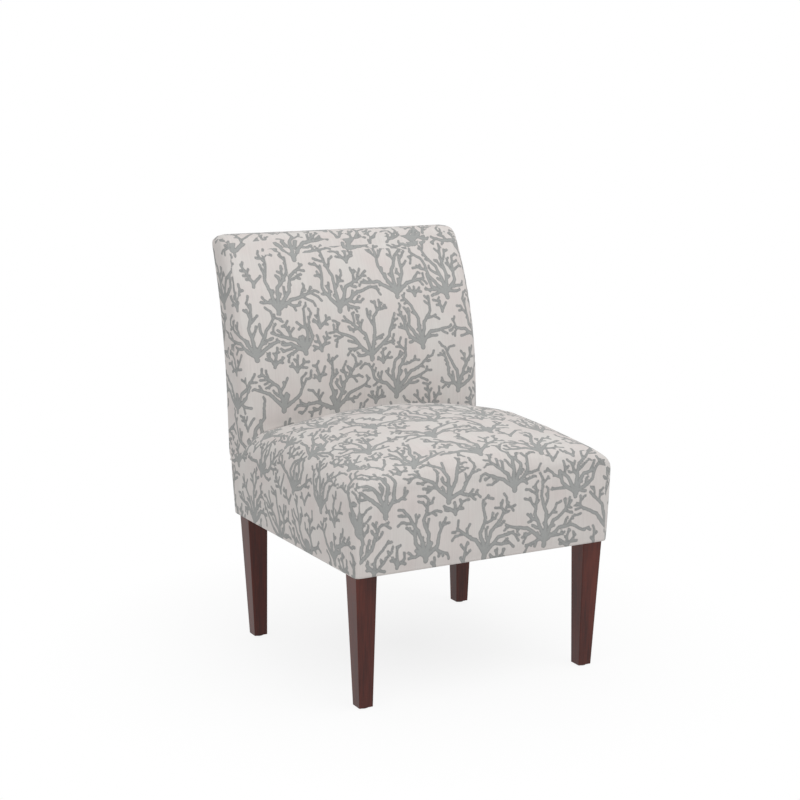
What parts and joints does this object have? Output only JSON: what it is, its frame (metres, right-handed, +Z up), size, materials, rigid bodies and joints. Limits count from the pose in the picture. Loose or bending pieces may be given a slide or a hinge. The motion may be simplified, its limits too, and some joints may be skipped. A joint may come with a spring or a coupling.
{
  "type": "slipper chair",
  "caption": "Armless upholstered slipper chair with a tight crowned seat, a raked curved back and four square tapered dark wood legs.",
  "frame": {"origin": "on the floor, at the middle of the chair's whole length and width", "axes": "+X to the right of the chair as seen from its front, the front faces -Y, +Z up"},
  "size_m": [0.57, 0.6518, 0.843],
  "materials": {
    "leg_wood": "dark red-brown stain, satin lacquer",
    "cover_cloth": "woven cloth, pale warm grey with a grey branching print",
    "frame_ply": "raw plywood",
    "block_wood": "raw hardwood",
    "foam": "open-cell foam",
    "wadding": "soft fibre wadding",
    "webbing": "woven jute",
    "deck_cloth": "coarse woven cloth",
    "dust_cloth": "thin non-woven cloth",
    "board": "grey-brown board",
    "steel": "zinc plated",
    "glide_plastic": "plain grey"
  },
  "bodies": {
    "root": {"leg_front_left": "leg_wood", "leg_front_right": "leg_wood", "leg_rear_left": "leg_wood", "leg_rear_right": "leg_wood", "seat_cover": "cover_cloth", "back_cover": "cover_cloth", "outside_back_panel": "cover_cloth", "frame_side_left": "frame_ply", "frame_side_right": "frame_ply", "seat_front_rail": "frame_ply", "seat_rear_rail": "frame_ply", "back_bottom_rail": "frame_ply", "back_middle_rail": "frame_ply", "back_top_rail": "frame_ply", "corner_block_front_left": "block_wood", "corner_block_front_right": "block_wood", "corner_block_rear_left": "block_wood", "corner_block_rear_right": "block_wood", "seat_foam": "foam", "back_foam": "foam", "seat_batting": "wadding", "back_batting": "wadding", "seat_webbing_lengthwise": "webbing", "seat_webbing_crosswise": "webbing", "back_webbing": "webbing", "seat_deck_cloth": "deck_cloth", "dust_cover": "dust_cloth", "outside_back_board": "board", "leg_hanger_bolts": "steel", "leg_threaded_inserts": "steel", "corner_block_screws": "steel", "foot_glides": "glide_plastic"}
  },
  "joints": []
}
